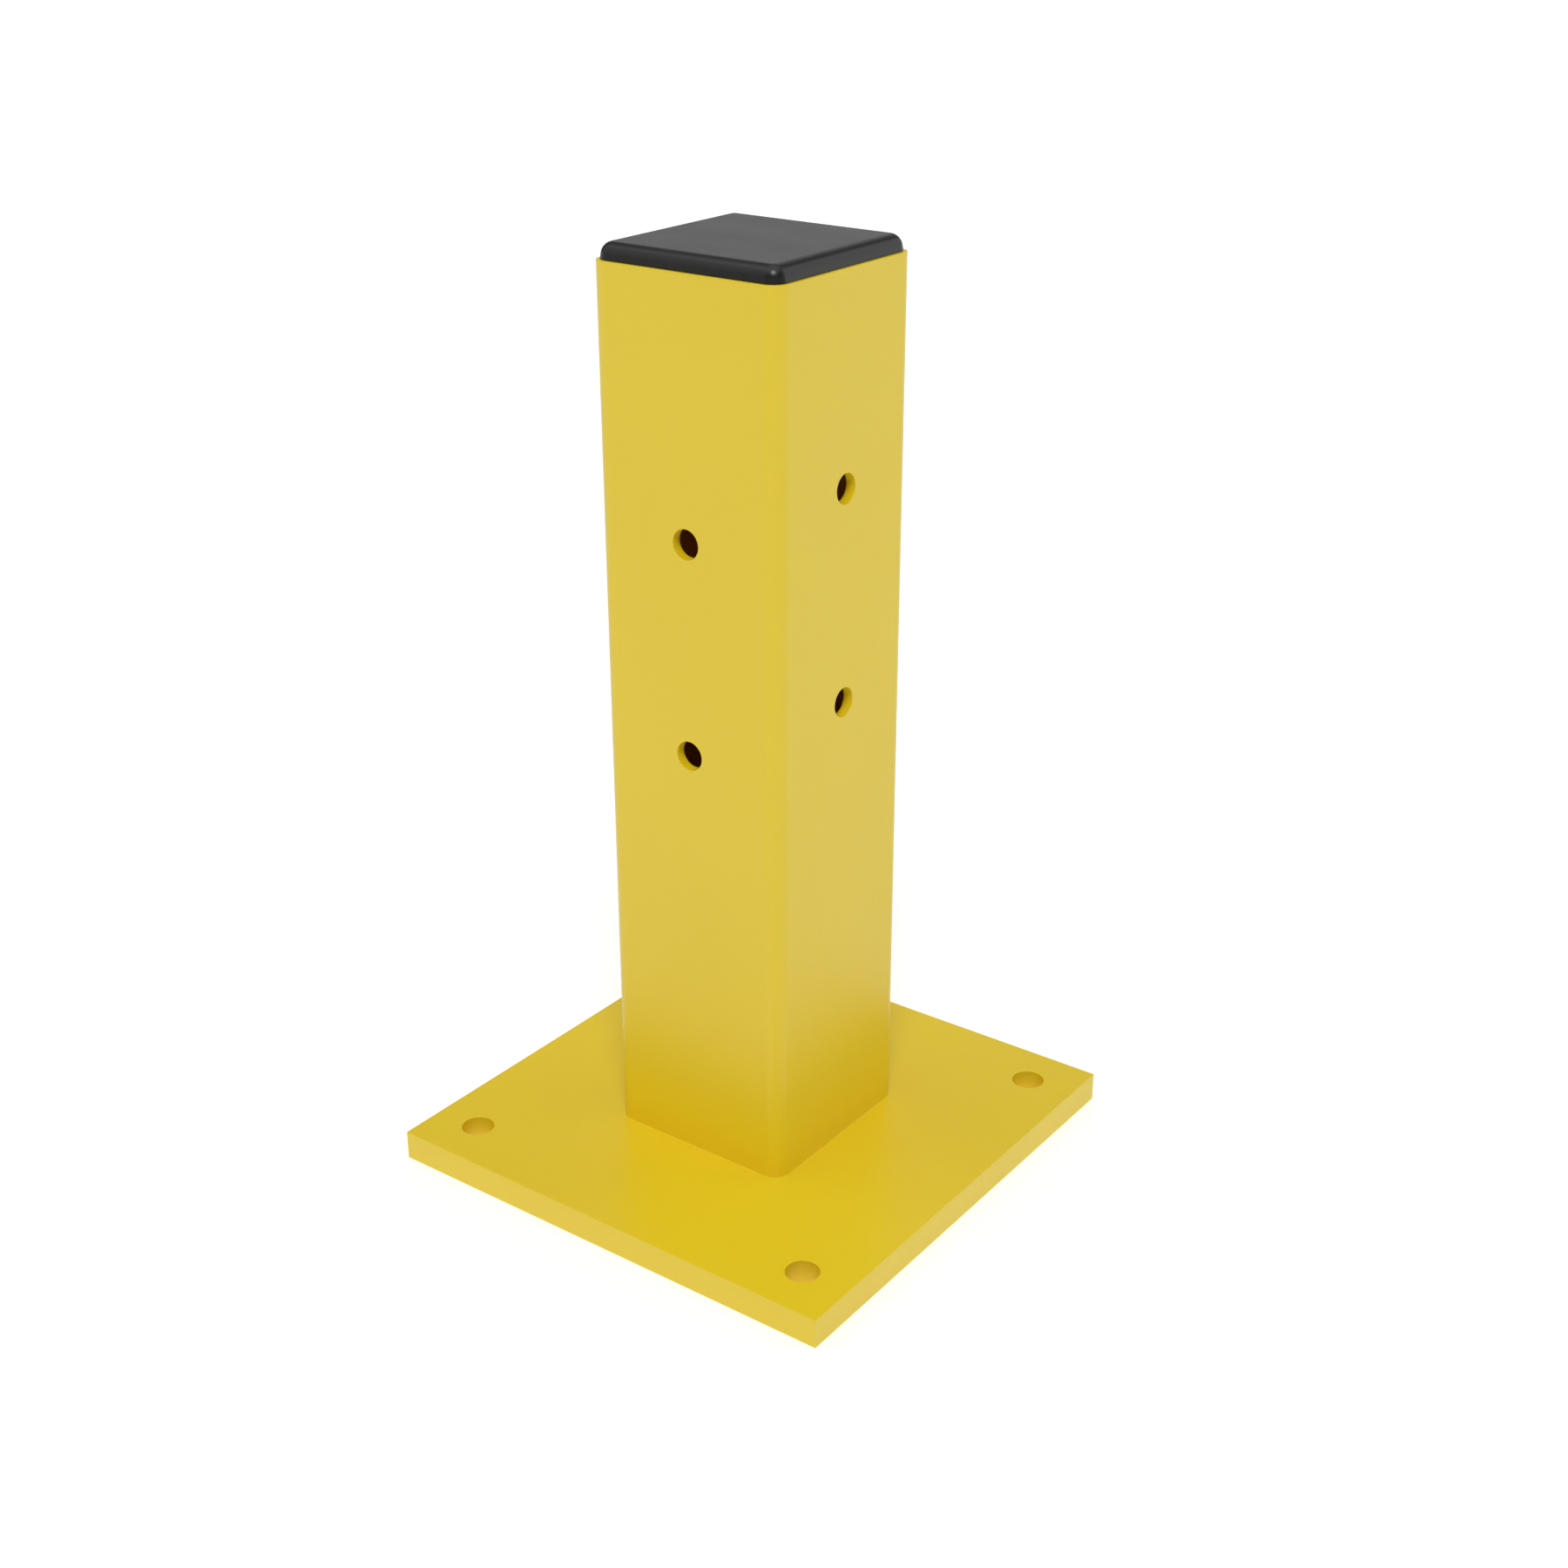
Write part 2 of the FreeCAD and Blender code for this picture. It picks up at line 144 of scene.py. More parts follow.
class BollardFinishes(bpy.types.PropertyGroup):
    """Colours and textures of the paint and the plastic"""

    paint: FloatVectorProperty(
        name="Paint", description="Colour of the powder coat",
        subtype="COLOR", size=3, default=(0.845, 0.630, 0.014), min=0, max=1)
    paint_thin: FloatVectorProperty(
        name="Thin paint", description="Colour of the powder coat where its film is thinner",
        subtype="COLOR", size=3, default=(0.832, 0.612, 0.012), min=0, max=1)
    # Painted bounce light: a brighter, more orange colour at the post's foot and on its drilled hole
    # walls, standing in for the warm light that plate and post throw on each other.
    paint_bounce_light: FloatVectorProperty(
        name="Painted bounce light",
        description="Colour of the powder coat where it gathers, at the foot and in the holes",
        subtype="COLOR", size=3, default=(0.95, 0.69, 0.012), min=0, max=1)
    # Height over which the painted bounce light at the post's foot fades out.
    foot_fade: FloatProperty(
        name="Foot fade", description="Height over which the thick paint at the post's foot thins out",
        default=45 * MM, min=1 * MM, unit="LENGTH")
    bore: FloatVectorProperty(
        name="Bore",
        description="Colour of the coat inside the tube, which only scattered light reaches",
        subtype="COLOR", size=3, default=(0.94, 0.45, 0.01), min=0, max=1)
    paint_roughness: FloatProperty(
        name="Paint roughness", description="Mean roughness of the powder coat",
        default=0.36, min=0.05, max=1)
    peel_width: FloatProperty(
        name="Orange peel", description="Width of one ripple of the powder coat",
        default=2.4 * MM, min=0.2 * MM, unit="LENGTH")
    peel_height: FloatProperty(
        name="Orange peel height", description="Height of the powder coat's ripples",
        default=0.012 * MM, min=0, precision=6, unit="LENGTH")
    plastic: FloatVectorProperty(
        name="Plastic", description="Colour of the end cap",
        subtype="COLOR", size=3, default=(0.0138, 0.0138, 0.0132), min=0, max=1)
    plastic_roughness: FloatProperty(
        name="Plastic roughness", description="Mean roughness of the end cap",
        default=0.34, min=0.05, max=1)
    grain_width: FloatProperty(
        name="Mould grain", description="Width of one grain of the cap's moulded texture",
        default=0.5 * MM, min=0.05 * MM, unit="LENGTH")
    floor: FloatVectorProperty(
        name="Floor", description="Colour of the studio floor",
        subtype="COLOR", size=3, default=(0.95, 0.95, 0.95), min=0, max=1)
    floor_glow: FloatProperty(
        name="Floor glow", description="Light that the studio floor gives off, as a lit table does",
        default=0.28, min=0)


class BollardStudio(bpy.types.PropertyGroup):
    """Camera and lights"""

    azimuth: FloatProperty(
        name="Azimuth", description="Camera's angle round the post, from the front towards the right",
        default=math.radians(36.207), unit="ROTATION")
    elevation: FloatProperty(
        name="Elevation", description="Camera's angle above the horizon",
        default=math.radians(24.332), unit="ROTATION")
    distance: FloatProperty(
        name="Distance", description="From the camera to the point it looks at",
        default=1.0518, min=0.1, unit="LENGTH")
    target: FloatVectorProperty(
        name="Target", description="Point that the camera looks at",
        subtype="TRANSLATION", size=3, default=(0.0, 0.0225, 0.1848), unit="LENGTH")
    focal_length: FloatProperty(
        name="Focal length", description="Lens, in millimetres on a 36 mm wide sensor",
        default=49.8, min=1)
    key_strength: FloatProperty(
        name="Key light", description="Strength of the lamp above and beside the camera",
        default=1.38, min=0)
    fill_strength: FloatProperty(
        name="Fill light", description="Strength of the broad soft lamp on the left",
        default=0.43, min=0)
    overhead_strength: FloatProperty(
        name="Overhead light", description="Strength of the wide lamp straight above",
        default=1.0, min=0)
    backdrop_strength: FloatProperty(
        name="Backdrop light", description="Strength of the low glow behind the post",
        default=0.30, min=0)
    rim_strength: FloatProperty(
        name="Rim light", description="Strength of the low broad lamp behind and to the right",
        default=0.58, min=0)
    room: FloatProperty(
        name="Room", description="Light that comes from the studio's walls and ceiling",
        default=0.02, min=0)


# ---------------------------------------------------------------- node trees

class NodeBuilder:
    """Adds nodes to a tree and feeds their inputs with other nodes' outputs or plain values"""

    def __init__(self, tree):
        self.tree = tree

    def node(self, kind, inputs, **settings):
        """New node; inputs maps a socket's name or number to an output, a value or a list of outputs."""
        node = self.tree.nodes.new(kind)
        for name, value in settings.items():
            setattr(node, name, value)
        for socket, value in inputs.items():
            for item in value if isinstance(value, list) else [value]:
                if isinstance(item, bpy.types.NodeSocket):
                    self.tree.links.new(item, node.inputs[socket])
                else:
                    node.inputs[socket].default_value = item
        return node

    def math(self, operation, first, second=0.0):
        """Result of one arithmetic operation."""
        return self.node("ShaderNodeMath", {0: first, 1: second}, operation=operation).outputs[0]

    def vector(self, operation, first, second=(0.0, 0.0, 0.0)):
        """Result of one operation on vectors."""
        return self.node("ShaderNodeVectorMath", {0: first, 1: second}, operation=operation).outputs[0]

    def blend(self, share, first, second):
        """Colour between two others, each a socket or three numbers."""
        ends = [item if isinstance(item, bpy.types.NodeSocket) else (*item, 1)
                for item in (first, second)]
        inputs = {0: share, 6: ends[0], 7: ends[1]}
        return self.node("ShaderNodeMix", inputs, data_type="RGBA").outputs[2]

    def spread(self, texture, middle, reach):
        """Texture from 0 to 1 turned into values that stay within a reach of the middle one."""
        return self.node("ShaderNodeMapRange",
                         {"Value": texture, "To Min": middle - reach,
                          "To Max": middle + reach}).outputs[0]

    def point(self, x=0.0, y=0.0, z=0.0):
        """Vector from three numbers."""
        return self.node("ShaderNodeCombineXYZ", {"X": x, "Y": y, "Z": z}).outputs[0]


class ShapeTree(NodeBuilder):
    """Geometry node tree with named inputs"""

    def __init__(self, name, takes_geometry=False):
        super().__init__(bpy.data.node_groups.new(name, "GeometryNodeTree"))
        self.entry = self.tree.nodes.new("NodeGroupInput")
        self.exit = self.tree.nodes.new("NodeGroupOutput")
        self.tree.interface.new_socket("Geometry", in_out="OUTPUT", socket_type="NodeSocketGeometry")
        if takes_geometry:
            self.input("Geometry", "Geometry")

    def input(self, name, kind="Float"):
        """New named input."""
        self.tree.interface.new_socket(name, in_out="INPUT", socket_type="NodeSocket" + kind)
        return self.entry.outputs[name]

    def outline(self, width, radius):
        """Rounded square round the post's axis."""
        square = self.node("GeometryNodeCurvePrimitiveQuadrilateral",
                           {"Width": width, "Height": width}).outputs[0]
        return self.node("GeometryNodeFilletCurve",
                         {"Curve": square, "Radius": radius, "Count": CORNER_STEPS},
                         mode="POLY").outputs[0]

    def prism(self, outline, low, high):
        """Upright solid that fills an outline between two heights."""
        path = self.node("GeometryNodeCurvePrimitiveLine",
                         {"Start": self.point(z=low), "End": self.point(z=high)}).outputs[0]
        return self.node("GeometryNodeCurveToMesh",
                         {"Curve": path, "Profile Curve": outline, "Fill Caps": True}).outputs[0]

    def run(self, outline, corners, hollow=0.0):
        """Solid bead round an outline.

        Corners are four (outward, up) pairs, anticlockwise round the bead's section. The third
        may be hollowed to a radius, as where a bead blends into two faces.
        """
        names = ["Point 4", "Point 3", "Point 2", "Point 1"]
        points = {name: self.point(outward, self.math("MULTIPLY", up, -1.0))
                  for name, (outward, up) in zip(names, corners)}
        section = self.node("GeometryNodeCurvePrimitiveQuadrilateral", points, mode="POINTS").outputs[0]
        number = self.node("GeometryNodeInputIndex", {}).outputs[0]
        third = self.node("ShaderNodeMath", {0: number, 1: 1.0, 2: 0.5}, operation="COMPARE").outputs[0]
        eased = self.node("GeometryNodeFilletCurve",
                          {"Curve": section, "Radius": self.math("MULTIPLY", third, hollow),
                           "Count": TOE_STEPS}, mode="POLY").outputs[0]
        return self.node("GeometryNodeCurveToMesh",
                         {"Curve": outline, "Profile Curve": eased}).outputs[0]

    def lift(self, geometry, height):
        """Geometry moved up."""
        return self.node("GeometryNodeTransform",
                         {"Geometry": geometry, "Translation": self.point(z=height)}).outputs[0]

    def cut(self, solid, cutters):
        """Solid less its cutters."""
        return self.node("GeometryNodeMeshBoolean", {"Mesh 1": solid, "Mesh 2": cutters},
                         operation="DIFFERENCE", solver="EXACT").outputs[0]

    def unite(self, solids):
        """One solid from several that overlap."""
        return self.node("GeometryNodeMeshBoolean", {"Mesh 2": solids, "Self Intersection": True},
                         operation="UNION", solver="EXACT").outputs[0]

    def repeat(self, geometry, count, step, turn=0.0):
        """Copies of a solid, each one step and one turn about the upright axis on from the last."""
        places = self.node("GeometryNodeMeshLine", {"Count": count, "Offset": step}).outputs[0]
        number = self.node("GeometryNodeInputIndex", {}).outputs[0]
        rotation = self.point(z=self.math("MULTIPLY", number, turn))
        copies = self.node("GeometryNodeInstanceOnPoints",
                           {"Points": places, "Instance": geometry, "Rotation": rotation}).outputs[0]
        return self.node("GeometryNodeRealizeInstances", {"Geometry": copies}).outputs[0]

    def finish(self, geometry, crisp=False):
        """Last nodes: instances made real, faces smooth up to crisp corners, material set."""
        material = self.input("Material", "Material")
        real = self.node("GeometryNodeRealizeInstances", {"Geometry": geometry}).outputs[0]
        shaded = self.node("GeometryNodeSetShadeSmooth", {"Geometry": real}).outputs[0]
        if crisp:
            turn = self.node("GeometryNodeInputMeshEdgeAngle", {}).outputs["Unsigned Angle"]
            corner = self.math("GREATER_THAN", turn, CRISP_ANGLE)
            shaded = self.node("GeometryNodeSetShadeSmooth",
                               {"Geometry": shaded, "Selection": corner, "Shade Smooth": False},
                               domain="EDGE").outputs[0]
        covered = self.node("GeometryNodeSetMaterial",
                            {"Geometry": shaded, "Material": material}).outputs[0]
        self.tree.links.new(covered, self.exit.inputs[0])
        return self.tree


def square_tube_tree():
    """Square tube with rounded corners and a foot bevelled from outside for its weld."""
    tree = ShapeTree("Square tube")
    width = tree.input("Width")
    radius = tree.input("Corner Radius")
    wall = tree.input("Wall")
    foot = tree.input("Foot Height")
    top = tree.input("Top Height")
    leg = tree.input("Foot Bevel")
    outside = tree.outline(width, radius)
    inside = tree.outline(tree.math("SUBTRACT", width, tree.math("MULTIPLY", wall, 2.0)),
                          tree.math("SUBTRACT", radius, wall))
    below = tree.math("SUBTRACT", foot, OVERCUT)
    above = tree.math("ADD", top, OVERCUT)
    root = tree.math("MULTIPLY", tree.math("ADD", leg, OVERCUT), -1.0)
    crest = tree.math("ADD", leg, OVERCUT)
    corners = [(root, -OVERCUT), (2 * OVERCUT, -OVERCUT), (2 * OVERCUT, crest), (OVERCUT, crest)]
    bevel = tree.run(outside, corners)
    cutters = [tree.prism(inside, below, above), tree.lift(bevel, foot)]
    return tree.finish(tree.cut(tree.prism(outside, foot, top), cutters))


def bolt_holes_tree():
    """Rows and columns of round holes drilled through whatever the tree is given."""
    tree = ShapeTree("Bolt holes", takes_geometry=True)
    solid = tree.entry.outputs["Geometry"]
    diameter = tree.input("Diameter")
    depth = tree.input("Depth")
    first = tree.input("First Hole", "Vector")
    rotation = tree.input("Direction", "Rotation")
    columns = tree.input("Columns", "Int")
    column_step = tree.input("Column Step", "Vector")
    rows = tree.input("Rows", "Int")
    row_step = tree.input("Row Step", "Vector")
    drill = tree.node("GeometryNodeMeshCylinder",
                      {"Vertices": HOLE_SIDES, "Radius": tree.math("DIVIDE", diameter, 2.0),
                       "Depth": depth}).outputs[0]
    aimed = tree.node("GeometryNodeTransform", {"Geometry": drill, "Rotation": rotation}).outputs[0]
    row = tree.repeat(aimed, columns, column_step)
    grid = tree.repeat(row, rows, row_step)
    placed = tree.node("GeometryNodeTransform", {"Geometry": grid, "Translation": first}).outputs[0]
    return tree.finish(tree.cut(solid, [placed]))


def weld_run_tree():
    """Groove weld round the tube's foot, flush with the tube, with a small toe on the plate."""
    tree = ShapeTree("Weld run")
    width = tree.input("Width")
    radius = tree.input("Corner Radius")
    height = tree.input("Height")
    leg = tree.input("Leg")
    toe = tree.input("Toe")
    root = tree.math("MULTIPLY", leg, -1.0)
    corners = [(root, 0.0), (toe, 0.0), (0.0, 0.0), (0.0, leg)]
    bead = tree.run(tree.outline(width, radius), corners, toe)
    joined = tree.node("GeometryNodeMergeByDistance", {"Geometry": bead, "Distance": JOIN}).outputs[0]
    return tree.finish(tree.lift(joined, height), crisp=True)


def fins_and_ribs_tree():
    """Gripping fins round a cap's skirt and crossed ribs inside it."""
    tree = ShapeTree("Fins and ribs", takes_geometry=True)
    shell = tree.entry.outputs["Geometry"]
    bore = tree.input("Bore Width")
    bore_radius = tree.input("Bore Radius")
    root = tree.input("Root Width")
    thickness = tree.input("Fin Thickness")
    pitch = tree.input("Fin Pitch")
    count = tree.input("Fins", "Int")
    seat = tree.input("Seat Height")
    rib = tree.input("Rib Size", "Vector")
    rib_height = tree.input("Rib Height")
    first = tree.math("SUBTRACT", seat, pitch)
    lower = tree.math("SUBTRACT", first, thickness)
    blank = tree.prism(tree.outline(bore, bore_radius), lower, first)
    hollow = tree.prism(tree.outline(root, bore_radius),
                        tree.math("SUBTRACT", lower, OVERCUT), tree.math("ADD", first, OVERCUT))
    step = tree.point(z=tree.math("MULTIPLY", pitch, -1.0))
    fins = tree.repeat(tree.cut(blank, [hollow]), count, step)
    bar = tree.lift(tree.node("GeometryNodeMeshCube", {"Size": rib}).outputs[0], rib_height)
    ribs = tree.repeat(bar, 2, (0.0, 0.0, 0.0), QUARTER_TURN)
    return tree.finish(tree.unite([shell, fins, ribs]), crisp=True)


def add_tree(piece, tree, values):
    """Put a tree on a piece and set its inputs by name."""
    modifier = piece.modifiers.new(tree.name, "NODES")
    modifier.node_group = tree
    for socket in tree.interface.items_tree:
        if socket.in_out == "INPUT" and socket.name in values:
            modifier[socket.identifier] = values[socket.name]


# ---------------------------------------------------------------- finished meshes

def new_piece(name, mesh=None):
    """Object at the origin that will carry one piece."""
    piece = bpy.data.objects.new(name, mesh or bpy.data.meshes.new(name))
    bpy.context.scene.collection.objects.link(piece)
    return piece


def keep_flat(piece):
    """Keep a piece's flat faces flat in shade, next to its rounded ones."""
    flatten = piece.modifiers.new("Flat shade", "WEIGHTED_NORMAL")
    flatten.weight = 100
    flatten.keep_sharp = True


def round_edges(piece, width):
    """Small rounding on every sharp edge of a steel piece."""
    bevel = piece.modifiers.new("Edge round", "BEVEL")
    bevel.width = width
    bevel.segments = EDGE_STEPS
    bevel.limit_method = "ANGLE"
    bevel.angle_limit = STEEL_ANGLE
    keep_flat(piece)


def bake_modifiers(piece, material):
    """Replace a piece's mesh with the result of its modifiers, all in one material."""
    depsgraph = bpy.context.evaluated_depsgraph_get()
    evaluated = piece.evaluated_get(depsgraph)
    mesh = bpy.data.meshes.new_from_object(evaluated, preserve_all_data_layers=True,
                                           depsgraph=depsgraph)
    piece.modifiers.clear()
    piece.data = mesh
    mesh.name = piece.name
    mesh.materials.clear()
    mesh.materials.append(material)
    mesh.polygons.foreach_set("material_index", [0] * len(mesh.polygons))


def rounded_square(half, radius, height):
    """Points of a rounded square round the post's axis, corner by corner."""
    points = []
    centre = half - radius
    for quarter in range(4):
        turn = Euler((0, 0, quarter * QUARTER_TURN))
        for step in range(CORNER_STEPS):
            angle = step / (CORNER_STEPS - 1) * QUARTER_TURN
            point = Vector((centre + radius * math.cos(angle), centre + radius * math.sin(angle), 0))
            point.rotate(turn)
            points.append((point.x, point.y, height))
    return points


def loft(name, sections):
    """Closed mesh through sections of equal length, with its first and last section filled."""
    shell = bmesh.new()
    rings = [[shell.verts.new(point) for point in section] for section in sections]
    for lower, upper in zip(rings, rings[1:]):
        for index in range(len(lower)):
            following = (index + 1) % len(lower)
            shell.faces.new((lower[index], lower[following], upper[following], upper[index]))
    shell.faces.new(rings[0])
    shell.faces.new(rings[-1])
    bmesh.ops.recalc_face_normals(shell, faces=shell.faces)
    for face in shell.faces:
        face.smooth = True
    mesh = bpy.data.meshes.new(name)
    shell.to_mesh(mesh)
    shell.free()
    return mesh


def cap_sections(sizes):
    """Sections of the cap: from its top over the head, down the skirt and up inside the hollow."""
    seat = TUBE_HIGH.z
    top = CAP_HIGH.z
    half = CAP_HIGH.x
    lean = math.tan(sizes.head_draft)
    centre_height = top - seat - sizes.head_round
    centre_half = half - centre_height * lean - sizes.head_round / math.cos(sizes.head_draft)
    sections = []
    for step in range(HEAD_STEPS + 1):
        angle = QUARTER_TURN + (sizes.head_draft - QUARTER_TURN) * step / HEAD_STEPS
        reach = centre_half + sizes.head_round * math.cos(angle)
        sections.append((reach, seat + centre_height + sizes.head_round * math.sin(angle)))
    sections += [(half - HEAD_LIP * lean, seat + HEAD_LIP), (half - HEAD_LIP, seat)]
    rings = [rounded_square(reach, sizes.head_corner - (half - reach), height)
             for reach, height in sections]
    skirt = sizes.skirt_width / 2
    inside = skirt - sizes.skirt_wall
    bore_corner = sizes.skirt_corner - sizes.skirt_wall
    rings += [
        rounded_square(skirt, sizes.skirt_corner, seat),
        rounded_square(skirt, sizes.skirt_corner, CAP_LOW.z + SKIRT_LEAD),
        rounded_square(skirt - SKIRT_LEAD, sizes.skirt_corner - SKIRT_LEAD, CAP_LOW.z),
        rounded_square(inside, bore_corner, CAP_LOW.z),
        rounded_square(inside, bore_corner, top - sizes.head_skin),
    ]
    return rings


# ---------------------------------------------------------------- materials

PAINT_CLOUDS = 9.0           # clouds of thin and full film in a metre of paint
PAINT_GLOSS_CLOUDS = 60.0    # patches of glossier paint in a metre
PAINT_GLOSS_REACH = 0.03     # how far the paint's roughness strays from its mean
PAINT_IOR = 1.56
PLASTIC_CLOUDS = 40.0        # patches of glossier plastic in a metre
PLASTIC_GLOSS_REACH = 0.04   # how far the plastic's roughness strays from its mean
PLASTIC_TONE_REACH = 0.1     # how far the plastic's tone strays from its colour
PLASTIC_GRAIN_HEIGHT = 0.02 * MM
PLASTIC_IOR = 1.5
FLOOR_CLOUDS = 3.0           # patches of rougher floor in a metre
WALL_MARGIN = 0.15 * MM      # how far behind the tube's face its drilled walls begin
BORE_MARGIN = 0.1 * MM       # how far short of the tube's bore its coat begins


def new_material(name):
    """New material, with a builder for its nodes, its shader and the piece's own coordinates."""
    material = bpy.data.materials.new(name)
    material.use_nodes = True
    builder = NodeBuilder(material.node_tree)
    shader = material.node_tree.nodes["Principled BSDF"]
    place = builder.node("ShaderNodeTexCoord", {}).outputs["Object"]
    return material, builder, shader, place


def paint_material(finishes, sizes):
    """Satin powder coat: an even film with faint clouds and fine orange peel.

    At the post's foot and on the walls of its holes its colour is brighter and more orange, painted
    bounce light, and inside the tube it is of another colour.
    """
    material, nodes, shader, place = new_material("satin_powder_coat")
    link = material.node_tree.links.new
    clouds = nodes.node("ShaderNodeTexNoise",
                        {"Vector": place, "Scale": PAINT_CLOUDS, "Detail": 3.0}).outputs[0]
    film = nodes.node("ShaderNodeMapRange",
                      {"Value": clouds, "From Min": 0.3, "From Max": 0.7}).outputs[0]
    coat = nodes.blend(film, finishes.paint_thin, finishes.paint)

    # distance outwards from the lines that the tube's corners are rounded about: the corner
    # radius on the tube's face, and less by the depth in a drilled wall or in the bore
    straight = TUBE_HIGH.x - sizes.tube_corner
    beyond = nodes.vector("SUBTRACT", nodes.vector("ABSOLUTE", place), (straight, straight, 1.0))
    reach = nodes.node("ShaderNodeVectorMath",
                       {0: nodes.vector("MAXIMUM", beyond, (0.0, 0.0, 0.0))},
                       operation="LENGTH").outputs["Value"]
    in_wall = nodes.math("LESS_THAN", reach, sizes.tube_corner - WALL_MARGIN)
    in_bore = nodes.math("LESS_THAN", reach, sizes.tube_corner - sizes.tube_wall + BORE_MARGIN)
    height = nodes.node("ShaderNodeSeparateXYZ", {"Vector": place}).outputs["Z"]
    over_plate = nodes.math("GREATER_THAN", height, PLATE_HIGH.z + JOIN)
    # painted bounce light: brighter, more orange colour towards the post's foot and on its drilled walls
    foot = nodes.node("ShaderNodeMapRange", {
        "Value": height, "From Min": PLATE_HIGH.z, "From Max": PLATE_HIGH.z + finishes.foot_fade,
        "To Min": 1.0, "To Max": 0.0}, interpolation_type="SMOOTHSTEP").outputs[0]
    bounce_lit = nodes.math("MULTIPLY", nodes.math("MAXIMUM", foot, in_wall), over_plate)
    colour = nodes.blend(bounce_lit, coat, finishes.paint_bounce_light)
    colour = nodes.blend(nodes.math("MULTIPLY", in_bore, over_plate), colour, finishes.bore)
    link(colour, shader.inputs["Base Color"])

    gloss = nodes.node("ShaderNodeTexNoise",
                       {"Vector": place, "Scale": PAINT_GLOSS_CLOUDS, "Detail": 2.0}).outputs[0]
    roughness = nodes.spread(gloss, finishes.paint_roughness, PAINT_GLOSS_REACH)
    link(roughness, shader.inputs["Roughness"])

    ripples = nodes.node("ShaderNodeTexNoise",
                         {"Vector": place, "Scale": 1.0 / finishes.peel_width,
                          "Detail": 1.0, "Roughness": 0.4}).outputs[0]
    peel = nodes.node("ShaderNodeBump",
                      {"Height": ripples, "Strength": 1.0, "Distance": finishes.peel_height}).outputs[0]
    link(peel, shader.inputs["Normal"])
    shader.inputs["IOR"].default_value = PAINT_IOR
    return material


def plastic_material(finishes):
    """Moulded black polyethylene: fine matt grain, a little glossier in patches."""
    material, nodes, shader, place = new_material("moulded_plastic")
    link = material.node_tree.links.new
    clouds = nodes.node("ShaderNodeTexNoise",
                        {"Vector": place, "Scale": PLASTIC_CLOUDS, "Detail": 4.0}).outputs[0]
    tone = nodes.spread(clouds, 1.0, PLASTIC_TONE_REACH)
    colour = nodes.node("ShaderNodeMix", {0: 1.0, 6: (*finishes.plastic, 1), 7: tone},
                        data_type="RGBA", blend_type="MULTIPLY").outputs[2]
    link(colour, shader.inputs["Base Color"])
    roughness = nodes.spread(clouds, finishes.plastic_roughness, PLASTIC_GLOSS_REACH)
    link(roughness, shader.inputs["Roughness"])

    grain = nodes.node("ShaderNodeTexNoise",
                       {"Vector": place, "Scale": 1.0 / finishes.grain_width, "Detail": 2.0}).outputs[0]
    bump = nodes.node("ShaderNodeBump",
                      {"Height": grain, "Strength": 0.6, "Distance": PLASTIC_GRAIN_HEIGHT}).outputs[0]
    link(bump, shader.inputs["Normal"])
    shader.inputs["IOR"].default_value = PLASTIC_IOR
    return material


def shared_material(name, make, *arguments):
    """Material by name, made the first time that a piece asks for it."""
    return bpy.data.materials.get(name) or make(*arguments)


def paint(context):
    """The powder coat that all steel pieces share."""
    scene = context.scene
    return shared_material("satin_powder_coat", paint_material,
                           scene.bollard_finishes, scene.bollard_sizes)


# ---------------------------------------------------------------- pieces

def stand_in(piece, node):
    """Let a finished piece take the place of its frame node."""
    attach(piece, BODY)
    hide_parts(node)


class BOLLARD_OT_base_plate(bpy.types.Operator):
    """Square base plate with an anchor hole near each corner"""

    bl_idname = "bollard.base_plate"
    bl_label = "Base Plate"

    def execute(self, context):
        sizes = context.scene.bollard_sizes
        low, high = PLATE_LOW, PLATE_HIGH
        corners = [(low.x, low.y), (high.x, low.y), (high.x, high.y), (low.x, high.y)]
        sections = [[(x, y, height) for x, y in corners] for height in (low.z, high.z)]
        piece = new_piece("steel_base_plate", loft("steel_base_plate", sections))
        coat = paint(context)
        anchors = MOUNTS["anchor_holes"]
        across = anchors["dims"]["spacing_x_mm"] * MM
        along = anchors["dims"]["spacing_y_mm"] * MM
        middle = Vector(anchors["pos_m"])
        add_tree(piece, bolt_holes_tree(), {
            "Diameter": 2 * anchors["dims"]["hole_r_mm"] * MM,
            "Depth": 3 * (high.z - low.z),
            "First Hole": middle - Vector((across, along, 0)) / 2,
            "Columns": 2,
            "Column Step": (across, 0, 0),
            "Rows": 2,
            "Row Step": (0, along, 0),
            "Material": coat,
        })
        round_edges(piece, sizes.steel_edge)
        bake_modifiers(piece, coat)
        stand_in(piece, "base_plate")
        return {"FINISHED"}


